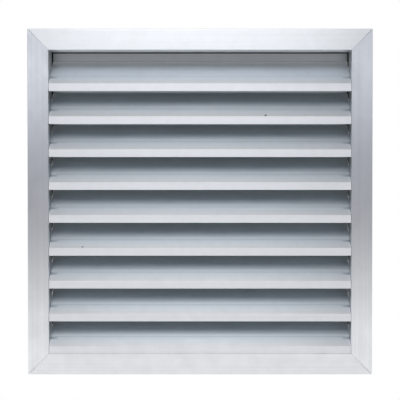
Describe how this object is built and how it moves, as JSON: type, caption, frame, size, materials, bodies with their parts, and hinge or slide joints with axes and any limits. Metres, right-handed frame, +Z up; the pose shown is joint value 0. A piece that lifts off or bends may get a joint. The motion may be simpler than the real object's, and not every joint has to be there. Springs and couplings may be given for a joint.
{
  "type": "wall louver",
  "caption": "Fixed-blade wall louver: a mitred aluminium frame with a plain flange and a stack of sloping rain blades, set in a wall opening to pass air and shed rain.",
  "frame": {"origin": "middle of the louver in the plane where the back of the flange meets the wall", "axes": "+Y into the wall, so the front faces -Y; +X to the right seen from the front; +Z up"},
  "size_m": [0.45, 0.0354, 0.4514],
  "materials": {
    "frame_aluminium": "mill finish, drawn lines along each length",
    "blade_aluminium": "mill finish, drawn lines along each length",
    "key_steel": "zinc-plated pressed steel",
    "screw_steel": "zinc-plated"
  },
  "bodies": {
    "root": {"frame_top": "frame_aluminium", "frame_bottom": "frame_aluminium", "frame_left": "frame_aluminium", "frame_right": "frame_aluminium", "corner_key_top_left": "key_steel", "corner_key_top_right": "key_steel", "corner_key_bottom_left": "key_steel", "corner_key_bottom_right": "key_steel", "blade_1": "blade_aluminium", "blade_2": "blade_aluminium", "blade_3": "blade_aluminium", "blade_4": "blade_aluminium", "blade_5": "blade_aluminium", "blade_6": "blade_aluminium", "blade_7": "blade_aluminium", "blade_8": "blade_aluminium", "blade_9": "blade_aluminium", "blade_screws_left": "screw_steel", "blade_screws_right": "screw_steel"}
  },
  "joints": []
}
